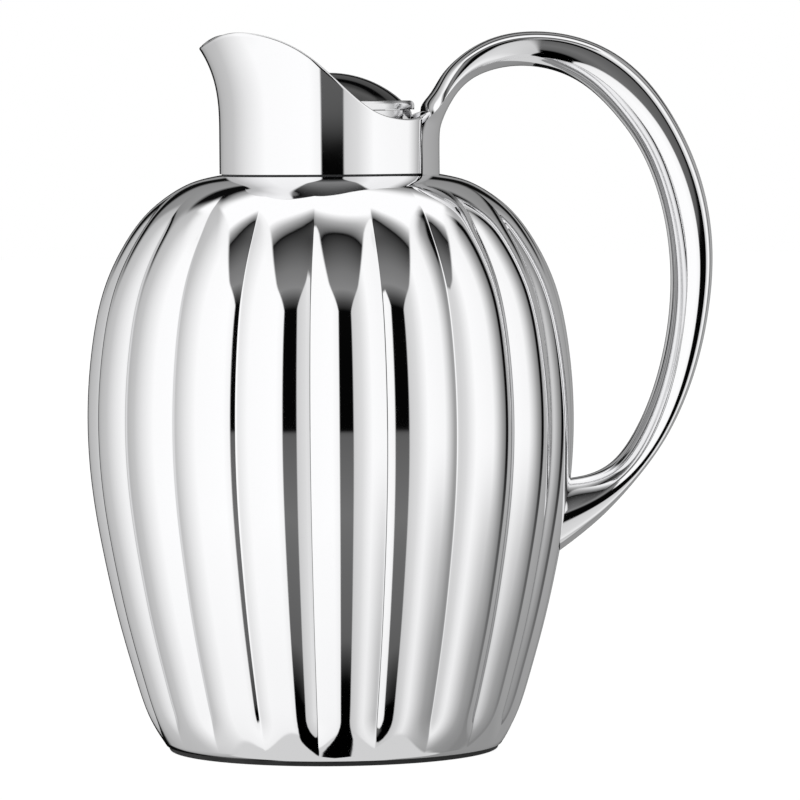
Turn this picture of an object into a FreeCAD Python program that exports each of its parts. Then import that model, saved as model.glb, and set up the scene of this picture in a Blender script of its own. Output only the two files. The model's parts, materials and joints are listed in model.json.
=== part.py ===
"""Insulated steel serving jug: fluted double-skinned body, lipped collar, loop handle, screw-in hinged lid.

Frame: millimetres, +Z up, origin on the body's axis at the underside of the foot ring. The pouring lip
points to -X and the handle to +X.
"""
import FreeCAD, Part
import math
import os
import Sketcher

Vector = FreeCAD.Vector
UP = Vector(0, 0, 1)

# Cutting tools run this far past what they cut, and this far from the axis around the lid and the rim.
OVERRUN = 0.5
LONG_OVERRUN = 2.0
LID_CUTTER_REACH = 32.0
RIM_CUTTER_REACH = 60.0

# Lengths and volumes that differ by less than this are taken as equal.
TOLERANCE = 0.01

# Driving dimensions, in millimetres and degrees: alias, value.
DIMENSIONS = [
    # fluted body shell
    ("lobe_count", 20),
    ("lobe_depth_share", 0.0338),
    ("shell_wall", 1.0),
    ("shell_base", 1.8),
    ("shoulder_top", 192),
    ("shell_mouth_radius", 33.5),
    ("shell_mouth_cut", 20),
    # collar with its pouring lip
    ("collar_radius", 36.6),
    ("collar_wall", 1.2),
    ("collar_top", 246),
    # foot, base cap and its fixings
    ("foot_outer_radius", 55.4),
    ("foot_inner_radius", 44),
    ("cap_radius", 53.4),
    ("cap_top", 7),
    ("cap_floor", 3.8),
    ("cap_wall", 3.5),
    ("ring_inner_radius", 33),
    ("ring_top", 8.5),
    ("screw_circle_radius", 39),
    ("screw_radius", 1.5),
    ("screw_clearance_radius", 1.6),
    ("screw_head_radius", 3.0),
    ("screw_head_base", 2.0),
    ("screw_head_top", 3.0),
    ("screw_recess_radius", 3.3),
    ("screw_tip", 12),
    ("screw_count", 3),
    ("cushion_radius", 24),
    # vacuum liner, two glass walls joined at the lip
    ("glass_wall", 1.5),
    ("outer_glass_radius", 62),
    ("outer_glass_base", 14),
    ("outer_glass_neck_radius", 30),
    ("outer_glass_neck_base", 179.5),
    ("outer_glass_shoulder", 162),
    ("inner_glass_radius", 57),
    ("inner_glass_base", 20.5),
    ("inner_glass_neck_radius", 26.5),
    ("inner_glass_neck_base", 177),
    ("inner_glass_shoulder", 159.5),
    ("glass_top", 191.5),
    ("glass_lip", 1.5),
    ("glass_slope_drop", 1.0),
    ("glass_base_round", 18),
    ("glass_shoulder_round", 18),
    # neck of the jug
    ("gasket_top", 193),
    ("insert_ledge_radius", 25.3),
    ("insert_ledge_top", 196),
    ("insert_bore_radius", 27.4),
    ("insert_top", 205),
    # screw-in stopper and its rings
    ("washer_inner_radius", 27.2),
    ("washer_outer_radius", 30.5),
    ("washer_top", 206.2),
    ("slip_outer_radius", 30),
    ("slip_top", 206.8),
    ("stopper_bore_radius", 16),
    ("stopper_nose_radius", 23.5),
    ("stopper_nose_base", 180),
    ("stopper_thread_base", 196.7),
    ("stopper_core_radius", 26),
    ("stopper_thread_radius", 27),
    ("thread_ridge", 1.0),
    ("thread_pitch", 2.4),
    ("thread_turns", 3),
    ("thread_bevel", 0.3),
    ("stopper_seat_radius", 19.3),
    ("stopper_seat_top", 211.2),
    ("nose_seal_base", 184),
    ("nose_seal_height", 2.4),
    ("nose_seal_bevel", 0.6),
    ("nose_seal_radius", 24.6),
    # lid ring, hinge and flap
    ("lid_ring_radius", 28.2),
    ("lid_ring_inner_radius", 19.4),
    ("lid_ring_top", 213.3),
    ("lid_ring_rear_top", 209.3),
    ("hinge_x", 25.5),
    ("hinge_z", 212.2),
    ("hinge_pin_radius", 0.9),
    ("hinge_running_gap", 0.05),
    ("hinge_half_length", 8.8),
    ("hinge_barrel_radius", 1.8),
    ("ear_barrel_radius", 1.1),
    ("ear_root", 1.0),
    ("knuckle_half_width", 4.9),
    ("ear_gap", 0.3),
    ("relief_front", 23.4),
    ("flap_base", 213.5),
    ("flap_ring_top", 216.5),
    ("flap_ring_radius", 28.5),
    ("flap_ring_inner_radius", 12),
    ("flap_edge_round", 1.6),
    ("dome_radius", 24.3),
    ("dome_top", 225.9),
    ("flap_seal_radius", 18.8),
    ("flap_seal_base", 211.3),
    # handle and its lower fixing
    ("handle_wall", 1.2),
    ("stud_radius", 2.5),
    ("stud_height", 79),
    ("stud_start", 70),
    ("stud_end", 88),
    ("stud_hole_radius", 2.7),
    ("nut_start", 70.5),
    ("nut_end", 74),
    ("nut_radius", 4.6),
    ("plate_end", 75.2),
    ("plate_radius", 7),
]

# Outline of the body through the crests of its lobes: height, radius.
BODY_OUTLINE = [
    (1.8, 56.2), (9.5, 60.9), (23, 65.8), (43, 71.4), (63, 75.9), (89, 80.2), (113, 81.4),
    (136, 79.6), (156, 75.0), (169.5, 68.5), (179.5, 61.0), (186, 52.9), (189.8, 45.6), (192, 36.6),
]

# The grooves between the lobes run at full depth between these heights and fade out beyond them.
GROOVE_FADE_LOW = (4.0, 18.0)
GROOVE_FADE_HIGH = (166.0, 187.0)

# The collar is round up to the start of the lip, which then leans out at the front by a power curve.
LIP_START = 206.0
LIP_REFERENCE = (28.4, 6.6)
LIP_CURL = 2.85
LIP_SHARPNESS = 3.0
COLLAR_RING_STEP = 3.0
COLLAR_RING_POINTS = 48

# Rim of the collar in side view: x, height.
RIM_OUTLINE = [
    (-60, 218), (-50, 228.5), (-43.2, 234.3), (-38, 237.9), (-30, 239.1), (-20, 237.0), (-8.2, 230.6),
    (2.6, 221.0), (12.1, 213.4), (20, 210.7), (27, 210.8), (33, 214.5), (40, 224),
]

# The handle's loop in side view, station by station from the collar to the body:
# outer face (x, height), inner face (x, height), place of the side crease between inner 0 and outer 1,
# half width across the creases.
HANDLE_STATIONS = [
    ((31.5, 214.5), (37.0, 203.0), 0.50, 21.0),
    ((37.8, 224.8), (41.2, 216.8), 0.50, 15.0),
    ((44.8, 231.6), (48.4, 223.6), 0.45, 11.5),
    ((55.0, 237.0), (57.6, 227.0), 0.32, 9.8),
    ((70.6, 239.3), (69.0, 227.5), 0.26, 9.0),
    ((91.7, 234.1), (84.8, 221.8), 0.28, 9.0),
    ((107.0, 222.3), (96.8, 210.5), 0.30, 9.0),
    ((119.2, 203.5), (106.0, 196.5), 0.32, 9.0),
    ((126.4, 183.0), (112.0, 179.0), 0.33, 9.0),
    ((128.5, 162.4), (114.4, 161.0), 0.33, 9.0),
    ((126.8, 144.0), (114.0, 145.5), 0.33, 9.0),
    ((121.4, 122.4), (110.4, 125.8), 0.35, 9.2),
    ((112.0, 102.4), (103.2, 107.0), 0.38, 9.6),
    ((102.2, 89.1), (95.0, 95.4), 0.42, 10.2),
    ((89.8, 75.9), (85.0, 90.4), 0.45, 11.0),
    ((76.0, 65.0), (73.0, 89.0), 0.45, 11.6),
]

doc = FreeCAD.newDocument("serving_jug")
sheet = doc.addObject("Spreadsheet::Sheet", "sizes")
for row, (alias, value) in enumerate(DIMENSIONS, start=1):
    sheet.set(f"A{row}", alias)
    sheet.set(f"B{row}", str(value))
    sheet.setAlias(f"B{row}", alias)
doc.recompute()

sub_parts = {}


def size(alias):
    """Value of one cell of the sheet."""
    return float(getattr(sheet, alias))


def keep(obj, label):
    """Give a finished sub-part its own label and remember it."""
    obj.Label = label
    sub_parts[label] = obj
    return obj


# ---------------------------------------------------------------- helpers for sketched bodies

def origin_plane(body, role):
    """Find one of a body's own origin planes."""
    return [feature for feature in body.Origin.OriginFeatures if feature.Role == role][0]


def new_sketch(body, name, role):
    """Add a sketch on one of the body's origin planes."""
    sketch = body.newObject("Sketcher::SketchObject", name)
    sketch.AttachmentSupport = [(origin_plane(body, role), "")]
    sketch.MapMode = "FlatFace"
    return sketch


def pin_down(sketch, kind, corner, expression):
    """Dimension a corner of an outline from the origin, bound to the sheet."""
    value = evaluate(expression)
    index = sketch.addConstraint(Sketcher.Constraint(kind, -1, 1, corner, 1, value))
    if isinstance(expression, str):
        name = f"{kind}_{corner}"
        sketch.renameConstraint(index, name)
        sketch.setExpression(f"Constraints.{name}", to_sheet(expression))


def to_sheet(expression):
    """Prefix the aliases of an expression such as 'cap_radius - cap_wall' with the sheet's name."""
    words = expression.split()
    return " ".join(f"sizes.{word}" if word[0].isalpha() else word for word in words)


def evaluate(expression):
    """Value of a plain number or of a sum or difference of aliases and numbers."""
    if not isinstance(expression, str):
        return float(expression)
    total = 0.0
    sign = 1.0
    for word in expression.split():
        if word in ("+", "-"):
            sign = 1.0 if word == "+" else -1.0
        else:
            total += sign * (size(word) if word[0].isalpha() else float(word))
    return total


def revolved_body(label, corners):
    """A turned piece: corners are (radius, height) around the half section."""
    body = doc.addObject("PartDesign::Body", label + "_body")
    sketch = new_sketch(body, label + "_outline", "XZ_Plane")
    points = [Vector(evaluate(radius), evaluate(height), 0) for radius, height in corners]
    count = len(points)
    for i in range(count):
        sketch.addGeometry(Part.LineSegment(points[i], points[(i + 1) % count]))
    for i in range(count):
        sketch.addConstraint(Sketcher.Constraint("Coincident", i, 2, (i + 1) % count, 1))
    for i, (radius, height) in enumerate(corners):
        pin_down(sketch, "DistanceX", i, radius)
        pin_down(sketch, "DistanceY", i, height)
    revolution = body.newObject("PartDesign::Revolution", label + "_turned")
    revolution.Profile = sketch
    revolution.ReferenceAxis = (sketch, ["V_Axis"])
    revolution.Angle = 360
    doc.recompute()
    return keep(body, label)


def round_circles(body, circles, radius_alias):
    """Fillet the circular edges of a turned piece that lie at the given (radius, height) pairs."""
    base = body.Tip
    names = []
    for index, edge in enumerate(base.Shape.Edges, start=1):
        if not isinstance(edge.Curve, Part.Circle):
            continue
        for radius, height in circles:
            same_radius = abs(edge.Curve.Radius - evaluate(radius)) < TOLERANCE
            if same_radius and abs(edge.Curve.Center.z - evaluate(height)) < TOLERANCE:
                names.append(f"Edge{index}")
    fillet = body.newObject("PartDesign::Fillet", f"{body.Label}_round_{len(body.Group)}")
    fillet.Base = (base, names)
    fillet.setExpression("Radius", to_sheet(radius_alias))
    doc.recompute()


def pocket_circle(body, name, radius_alias, offset_alias, start, end):
    """Drill a round hole parallel to Z, centred on +X at offset_alias, between two heights."""
    sketch = new_sketch(body, name + "_sketch", "XY_Plane")
    sketch.AttachmentOffset = FreeCAD.Placement(Vector(0, 0, evaluate(start)), FreeCAD.Rotation())
    centre = Vector(size(offset_alias), 0, 0)
    sketch.addGeometry(Part.Circle(centre, UP, size(radius_alias)))
    constraints = [("Radius", (0,), radius_alias), ("DistanceX", (-1, 1, 0, 3), offset_alias)]
    for kind, where, alias in constraints:
        index = sketch.addConstraint(Sketcher.Constraint(kind, *where, size(alias)))
        sketch.renameConstraint(index, kind)
        sketch.setExpression(f"Constraints.{kind}", to_sheet(alias))
    sketch.addConstraint(Sketcher.Constraint("DistanceY", -1, 1, 0, 3, 0.0))
    before = body.Shape.Volume
    pocket = body.newObject("PartDesign::Pocket", name)
    pocket.Profile = sketch
    pocket.Length = evaluate(end) - evaluate(start)
    pocket.Reversed = True
    doc.recompute()
    if body.Shape.Volume > before - TOLERANCE:
        raise RuntimeError(f"{name} removed no material")
    return pocket


def repeat_around(body, features, count_alias):
    """Repeat features around Z."""
    pattern = body.newObject("PartDesign::PolarPattern", body.Label + "_pattern")
    pattern.Originals = features
    axis = [feature for feature in body.Origin.OriginFeatures if feature.Role == "Z_Axis"][0]
    pattern.Axis = (axis, [""])
    pattern.Angle = 360
    pattern.setExpression("Occurrences", to_sheet(count_alias))
    body.Tip = pattern
    doc.recompute()


# ---------------------------------------------------------------- helpers for primitives

def cylinder(name, radius, height, place, rotation=None):
    """Part cylinder whose radius and height are bound to the sheet."""
    solid = doc.addObject("Part::Cylinder", name)
    solid.setExpression("Radius", to_sheet(radius))
    solid.setExpression("Height", to_sheet(height))
    solid.Placement = FreeCAD.Placement(place, rotation or FreeCAD.Rotation())
    return solid


def cut(name, base, tool):
    """Boolean difference."""
    result = doc.addObject("Part::Cut", name)
    result.Base = base
    result.Tool = tool
    return result


def block(name, low, high):
    """Part box between two opposite corners."""
    solid = doc.addObject("Part::Box", name)
    solid.Length = high[0] - low[0]
    solid.Width = high[1] - low[1]
    solid.Height = high[2] - low[2]
    solid.Placement = FreeCAD.Placement(Vector(*low), FreeCAD.Rotation())
    return solid


def fuse(name, shapes):
    """Boolean union."""
    result = doc.addObject("Part::MultiFuse", name)
    result.Shapes = shapes
    return result


def free_shape(label, shape):
    """A sub-part whose surfaces are lofted."""
    feature = doc.addObject("Part::Feature", label + "_shape")
    feature.Shape = shape
    feature.Placement = FreeCAD.Placement()
    return keep(feature, label)


# ---------------------------------------------------------------- fluted body shell

def smooth_step(value, low, high):
    """Ease from 0 at low to 1 at high."""
    share = min(max((value - low) / (high - low), 0.0), 1.0)
    return share * share * (3 - 2 * share)


def groove_depth(height, radius):
    """Depth of the grooves between the lobes, from crest to crease."""
    rise = smooth_step(height, *GROOVE_FADE_LOW)
    fall = 1 - smooth_step(height, *GROOVE_FADE_HIGH)
    return radius * size("lobe_depth_share") * rise * fall


def lobed_wire(height, radius, depth):
    """Closed ring of equal arcs: crests at the radius, creases between them."""
    count = int(size("lobe_count"))
    half_step = math.pi / count
    edges = []
    for i in range(count):
        crest = 2 * i * half_step
        arc_points = []
        for angle, reach in ((crest - half_step, radius - depth), (crest, radius), (crest + half_step, radius - depth)):
            arc_points.append(Vector(reach * math.cos(angle), reach * math.sin(angle), height))
        edges.append(Part.Arc(*arc_points).toShape())
    return Part.Wire(edges)


def inset_outline(outline, wall):
    """Move an outline of (height, radius) points inwards along its normals."""
    inset = []
    last = len(outline) - 1
    for i, (height, radius) in enumerate(outline):
        before = outline[max(i - 1, 0)]
        after = outline[min(i + 1, last)]
        run = math.hypot(after[0] - before[0], after[1] - before[1])
        normal_up = -(after[1] - before[1]) / run
        normal_out = (after[0] - before[0]) / run
        inset.append((height - wall * normal_up, radius - wall * normal_out))
    return inset


def lobed_solid(outline, depths):
    """Loft of lobed rings through an outline."""
    wires = [lobed_wire(height, radius, depth) for (height, radius), depth in zip(outline, depths)]
    return Part.makeLoft(wires, True, False)


def body_outer_solid():
    """The body's outside, filled."""
    depths = [groove_depth(height, radius) for height, radius in BODY_OUTLINE]
    return lobed_solid(BODY_OUTLINE, depths)


def make_body_shell(outer):
    """Pressed steel shell, open at the foot and at the neck."""
    depths = [groove_depth(height, radius) for height, radius in BODY_OUTLINE]
    hollow = inset_outline(BODY_OUTLINE, size("shell_wall"))
    hollow[0] = (size("shell_base") - OVERRUN, hollow[0][1])
    shell = outer.cut(lobed_solid(hollow, depths))
    mouth_cut = size("shell_mouth_cut")
    mouth_place = Vector(0, 0, size("shoulder_top") - mouth_cut / 2)
    mouth = Part.makeCylinder(size("shell_mouth_radius"), mouth_cut, mouth_place)
    stud_place = Vector(size("stud_start"), 0, size("stud_height"))
    stud_length = size("stud_end") - size("stud_start")
    stud_hole = Part.makeCylinder(size("stud_hole_radius"), stud_length, stud_place, Vector(1, 0, 0))
    return free_shape("body_shell", shell.cut(mouth).cut(stud_hole))


# ---------------------------------------------------------------- collar

def collar_ring(height, inset):
    """Closed curve around the collar at one height, drawn out at the front for the lip."""
    rise, reach_there = LIP_REFERENCE
    lip_reach = reach_there * (max(height - LIP_START, 0.0) / rise) ** LIP_CURL
    points = []
    for i in range(COLLAR_RING_POINTS):
        angle = 2 * math.pi * i / COLLAR_RING_POINTS
        towards_lip = max(-math.cos(angle), 0.0) ** LIP_SHARPNESS
        reach = size("collar_radius") - inset + lip_reach * towards_lip
        points.append(Vector(reach * math.cos(angle), reach * math.sin(angle), height))
    curve = Part.BSplineCurve()
    curve.interpolate(Points=points, PeriodicFlag=True)
    return Part.Wire(curve.toShape())


def collar_solid(inset, overrun=0.0):
    """The collar filled, before its rim is trimmed; a cutting copy runs past both ends."""
    low = size("shoulder_top") - overrun
    high = size("collar_top") + overrun
    count = round((high - low) / COLLAR_RING_STEP)
    heights = [low + (high - low) * i / count for i in range(count + 1)]
    return Part.makeLoft([collar_ring(height, inset) for height in heights], True, False)


def above_rim():
    """Everything above the collar's rim, to be cut away."""
    reach = RIM_CUTTER_REACH
    rim = Part.BSplineCurve()
    rim.interpolate([Vector(x, -reach, height) for x, height in RIM_OUTLINE])
    start = Vector(RIM_OUTLINE[0][0], -reach, RIM_OUTLINE[0][1])
    end = Vector(RIM_OUTLINE[-1][0], -reach, RIM_OUTLINE[-1][1])
    top = size("collar_top") + LONG_OVERRUN
    start_top = Vector(start.x, -reach, top)
    end_top = Vector(end.x, -reach, top)
    corners = [end, end_top, start_top, start]
    edges = [rim.toShape()] + [Part.makeLine(a, b) for a, b in zip(corners, corners[1:])]
    return Part.Face(Part.Wire(edges)).extrude(Vector(0, 2 * reach, 0))


def make_collar():
    """Thin steel collar with a raised, flared lip at the front and a low rim at the back."""
    wall = collar_solid(0).cut(collar_solid(size("collar_wall"), overrun=LONG_OVERRUN))
    return free_shape("collar", wall.cut(above_rim()))


# ---------------------------------------------------------------- handle

def handle_section(outer, inner, crease_share, half_width, side, wall):
    """Crescent across the handle: the outer or inner face and the same face moved in by the wall."""
    outer_point = Vector(outer[0], 0, outer[1])
    inner_point = Vector(inner[0], 0, inner[1])
    crease = inner_point + (outer_point - inner_point) * crease_share
    left = crease + Vector(0, -half_width, 0)
    right = crease + Vector(0, half_width, 0)
    crest = outer_point if side == "outer" else inner_point
    inward = (crease - crest).normalize()
    face = Part.Arc(left, crest, right).toShape()
    back = Part.Arc(right, crest + inward * wall, left).toShape()
    return Part.Wire([face, back])


def handle_shell(label, side, away):
    """One pressed half of the hollow handle, trimmed where it meets the collar and the body."""
    sections = [handle_section(*station, side, size("handle_wall")) for station in HANDLE_STATIONS]
    shape = Part.makeLoft(sections, True, False)
    for solid in away:
        shape = shape.cut(solid)
    largest = max(shape.Solids, key=lambda solid: solid.Volume)
    return free_shape(label, largest)


def make_handle(body_outer):
    """The two halves of the loop and the stud, plate and nut that hold its lower end."""
    along_x = FreeCAD.Rotation(Vector(0, 1, 0), 90)
    collar_filled = collar_solid(0)
    handle_shell("handle_outer_shell", "outer", [body_outer, collar_filled])
    handle_shell("handle_inner_shell", "inner", [body_outer, collar_filled])
    height = size("stud_height")
    stud = cylinder("stud", "stud_radius", "stud_end - stud_start", Vector(size("stud_start"), 0, height), along_x)
    keep(stud, "handle_stud")
    nut = doc.addObject("Part::Prism", "nut_hexagon")
    nut.Polygon = 6
    nut.setExpression("Circumradius", to_sheet("nut_radius"))
    nut.setExpression("Height", to_sheet("nut_end - nut_start"))
    nut.Placement = FreeCAD.Placement(Vector(size("nut_start"), 0, height), along_x)
    nut_bore = cylinder("nut_bore", "stud_radius", "nut_end - nut_start", nut.Placement.Base, along_x)
    keep(cut("nut", nut, nut_bore), "handle_nut")
    disc_place = Vector(size("nut_end"), 0, height)
    disc = cylinder("plate_disc", "plate_radius", "plate_end - nut_end", disc_place, along_x)
    disc_bore = cylinder("plate_bore", "stud_radius", "plate_end - nut_end", disc_place, along_x)
    keep(cut("plate", disc, disc_bore), "handle_backing_plate")


# ---------------------------------------------------------------- foot and base

def make_base():
    """Foot ring, base cap, the steel ring it screws into, its screws and the liner's cushion."""
    revolved_body("foot_ring", [
        ("foot_inner_radius", 0), ("foot_outer_radius", 0),
        ("foot_outer_radius", "shell_base"), ("foot_inner_radius", "shell_base"),
    ])
    cap = revolved_body("base_cap", [
        (0, "shell_base"), ("cap_radius", "shell_base"), ("cap_radius", "cap_top"),
        ("cap_radius - cap_wall", "cap_top"), ("cap_radius - cap_wall", "cap_floor"), (0, "cap_floor"),
    ])
    hole = pocket_circle(
        cap, "cap_screw_hole", "screw_clearance_radius", "screw_circle_radius", "shell_base", "cap_floor"
    )
    recess = pocket_circle(
        cap, "cap_screw_recess", "screw_recess_radius", "screw_circle_radius", "shell_base", "screw_head_top"
    )
    repeat_around(cap, [hole, recess], "screw_count")
    ring = revolved_body("base_ring", [
        ("ring_inner_radius", "cap_top"), ("cap_radius", "cap_top"),
        ("cap_radius", "ring_top"), ("ring_inner_radius", "ring_top"),
    ])
    ring_hole = pocket_circle(ring, "ring_screw_hole", "screw_radius", "screw_circle_radius", "cap_top", "ring_top")
    repeat_around(ring, [ring_hole], "screw_count")
    revolved_body("liner_cushion", [
        (0, "cap_floor"), ("cushion_radius", "cap_floor"),
        ("cushion_radius", "outer_glass_base"), (0, "outer_glass_base"),
    ])
    make_base_screws()


def make_base_screws():
    """Three equal screws up through the base cap."""
    screws = []
    for i in range(int(size("screw_count"))):
        angle = 2 * math.pi * i / size("screw_count")
        x = size("screw_circle_radius") * math.cos(angle)
        y = size("screw_circle_radius") * math.sin(angle)
        head = cylinder(
            f"screw_head_{i}", "screw_head_radius", "screw_head_top - screw_head_base",
            Vector(x, y, size("screw_head_base"))
        )
        shank = cylinder(
            f"screw_shank_{i}", "screw_radius", "screw_tip - screw_head_top", Vector(x, y, size("screw_head_top"))
        )
        screws.append(fuse(f"screw_{i}", [head, shank]))
    group = doc.addObject("Part::Compound", "screws")
    group.Links = screws
    keep(group, "base_screws")


# ---------------------------------------------------------------- liner and neck

def make_liner():
    """Vacuum liner: two glass bottles, one inside the other, joined at the lip."""
    outer = revolved_body("liner_outer_wall", [
        (0, "outer_glass_base"), ("outer_glass_radius", "outer_glass_base"),
        ("outer_glass_radius", "outer_glass_shoulder"), ("outer_glass_neck_radius", "outer_glass_neck_base"),
        ("outer_glass_neck_radius", "glass_top"), ("outer_glass_neck_radius - glass_wall", "glass_top"),
        ("outer_glass_neck_radius - glass_wall", "outer_glass_neck_base - glass_slope_drop"),
        ("outer_glass_radius - glass_wall", "outer_glass_shoulder - glass_slope_drop"),
        ("outer_glass_radius - glass_wall", "outer_glass_base + glass_wall"),
        (0, "outer_glass_base + glass_wall"),
    ])
    round_circles(outer, [
        ("outer_glass_radius", "outer_glass_base"),
        ("outer_glass_radius - glass_wall", "outer_glass_base + glass_wall"),
    ], "glass_base_round")
    round_circles(outer, [
        ("outer_glass_radius", "outer_glass_shoulder"),
        ("outer_glass_radius - glass_wall", "outer_glass_shoulder - glass_slope_drop"),
    ], "glass_shoulder_round")
    inner = revolved_body("liner_inner_wall", [
        (0, "inner_glass_base"), ("inner_glass_radius", "inner_glass_base"),
        ("inner_glass_radius", "inner_glass_shoulder"), ("inner_glass_neck_radius", "inner_glass_neck_base"),
        ("inner_glass_neck_radius", "glass_top - glass_lip"),
        ("outer_glass_neck_radius - glass_wall", "glass_top - glass_lip"),
        ("outer_glass_neck_radius - glass_wall", "glass_top"),
        ("inner_glass_neck_radius - glass_wall", "glass_top"),
        ("inner_glass_neck_radius - glass_wall", "inner_glass_neck_base - glass_slope_drop"),
        ("inner_glass_radius - glass_wall", "inner_glass_shoulder - glass_slope_drop"),
        ("inner_glass_radius - glass_wall", "inner_glass_base + glass_wall"),
        (0, "inner_glass_base + glass_wall"),
    ])
    round_circles(inner, [
        ("inner_glass_radius", "inner_glass_base"),
        ("inner_glass_radius - glass_wall", "inner_glass_base + glass_wall"),
    ], "glass_base_round")
    round_circles(inner, [
        ("inner_glass_radius", "inner_glass_shoulder"),
        ("inner_glass_radius - glass_wall", "inner_glass_shoulder - glass_slope_drop"),
    ], "glass_shoulder_round")


def make_neck():
    """Sealing ring on the liner's lip and the threaded insert inside the collar."""
    revolved_body("neck_gasket", [
        ("insert_ledge_radius", "glass_top"), ("outer_glass_neck_radius", "glass_top"),
        ("outer_glass_neck_radius", "gasket_top"), ("insert_ledge_radius", "gasket_top"),
    ])
    revolved_body("neck_insert", [
        ("insert_ledge_radius", "gasket_top"), ("collar_radius - collar_wall", "gasket_top"),
        ("collar_radius - collar_wall", "insert_top"), ("insert_bore_radius", "insert_top"),
        ("insert_bore_radius", "insert_ledge_top"), ("insert_ledge_radius", "insert_ledge_top"),
    ])


# ---------------------------------------------------------------- stopper and lid

def thread_corners():
    """Ridges of the stopper's thread, from its lower to its upper end."""
    corners = []
    for i in range(int(size("thread_turns"))):
        low = "stopper_thread_base + thread_ridge" + i * " + thread_pitch"
        high = low + " + thread_ridge"
        corners.append(("stopper_core_radius", low))
        corners.append(("stopper_thread_radius", low + " + thread_bevel"))
        corners.append(("stopper_thread_radius", high + " - thread_bevel"))
        corners.append(("stopper_core_radius", high))
    return corners


def make_stopper():
    """Hollow screw-in stopper, its nose seal, and the two washers under the lid ring."""
    corners = [
        ("stopper_bore_radius", "stopper_nose_base"), ("stopper_nose_radius", "stopper_nose_base"),
        ("stopper_nose_radius", "stopper_thread_base"), ("stopper_core_radius", "stopper_thread_base"),
    ]
    corners += thread_corners()
    corners += [
        ("stopper_core_radius", "slip_top"), ("stopper_seat_radius", "slip_top"),
        ("stopper_seat_radius", "stopper_seat_top"), ("stopper_bore_radius", "stopper_seat_top"),
    ]
    revolved_body("stopper_body", corners)
    revolved_body("stopper_seal", [
        ("stopper_nose_radius", "nose_seal_base"), ("nose_seal_radius", "nose_seal_base + nose_seal_bevel"),
        ("nose_seal_radius", "nose_seal_base + nose_seal_height - nose_seal_bevel"),
        ("stopper_nose_radius", "nose_seal_base + nose_seal_height"),
    ])
    revolved_body("stopper_gasket", [
        ("washer_inner_radius", "insert_top"), ("washer_outer_radius", "insert_top"),
        ("washer_outer_radius", "washer_top"), ("washer_inner_radius", "washer_top"),
    ])
    revolved_body("stopper_slip_ring", [
        ("washer_inner_radius", "washer_top"), ("slip_outer_radius", "washer_top"),
        ("slip_outer_radius", "slip_top"), ("washer_inner_radius", "slip_top"),
    ])


def hinge_cylinder(name, radius, half_length):
    """Cylinder on the hinge's axis, which runs across the lid."""
    across = FreeCAD.Rotation(Vector(1, 0, 0), -90)
    place = Vector(size("hinge_x"), -evaluate(half_length), size("hinge_z"))
    return cylinder(name, radius, f"{half_length} + {half_length}", place, across)


def make_lid_ring():
    """Steel ring that the stopper hangs from, with two ears at the back for the hinge pin."""
    top = size("lid_ring_top")
    ring = cylinder("lid_ring_disc", "lid_ring_radius", "lid_ring_top - slip_top", Vector(0, 0, size("slip_top")))
    bore = cylinder("lid_ring_bore", "lid_ring_inner_radius", "lid_ring_top - slip_top", ring.Placement.Base)
    annulus = cut("lid_ring_annulus", ring, bore)
    relief = block(
        "lid_ring_relief", (size("relief_front"), -LID_CUTTER_REACH, size("lid_ring_rear_top")),
        (LID_CUTTER_REACH, LID_CUTTER_REACH, top + OVERRUN)
    )
    lowered = cut("lid_ring_lowered", annulus, relief)
    barrel = hinge_cylinder("ear_barrel", "ear_barrel_radius", "hinge_half_length")
    root = size("ear_root")
    half = size("hinge_half_length")
    web = block(
        "ear_web", (size("relief_front") - root, -half, size("lid_ring_rear_top") - root),
        (size("hinge_x") + size("ear_barrel_radius"), half, size("hinge_z"))
    )
    ears = fuse("ears_blank", [barrel, web])
    gap = size("knuckle_half_width") + size("ear_gap")
    slot = block(
        "ear_slot", (size("relief_front"), -gap, size("lid_ring_rear_top")), (LID_CUTTER_REACH, gap, top + OVERRUN)
    )
    ears_slotted = cut("ears", ears, slot)
    joined = fuse("lid_ring_joined", [lowered, ears_slotted])
    pin_hole = hinge_cylinder("ear_pin_hole", "hinge_pin_radius", f"hinge_half_length + {OVERRUN}")
    keep(cut("lid_ring_drilled", joined, pin_hole), "lid_ring")
    keep(hinge_cylinder("hinge_rod", "hinge_pin_radius", "hinge_half_length"), "hinge_pin")


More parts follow.
